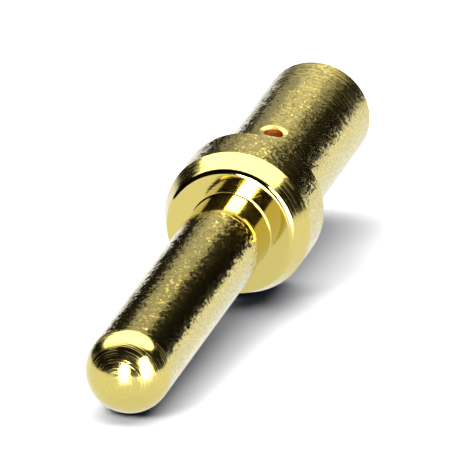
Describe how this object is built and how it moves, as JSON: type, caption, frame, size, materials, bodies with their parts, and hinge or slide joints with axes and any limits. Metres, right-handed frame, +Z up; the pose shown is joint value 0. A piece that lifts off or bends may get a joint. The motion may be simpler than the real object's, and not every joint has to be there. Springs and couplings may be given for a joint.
{
  "type": "crimp contact",
  "caption": "Turned male crimp contact with a round-nosed pin, a stop collar with a lead-in cone, and a crimp barrel with an inspection hole.",
  "frame": {"origin": "on the support plane, under the middle of the contact as it lies at rest", "axes": "+Z up, +Y from the pin towards the crimp barrel along the support plane, +X to the right; the turning axis rises 4.76 degrees from +Y towards +Z"},
  "size_m": [0.0036, 0.017, 0.0036],
  "materials": {
    "gold_plate": "bright gold plate over turned copper alloy, with fine turning lines"
  },
  "bodies": {
    "root": {"crimp_contact": "gold_plate"}
  },
  "joints": []
}
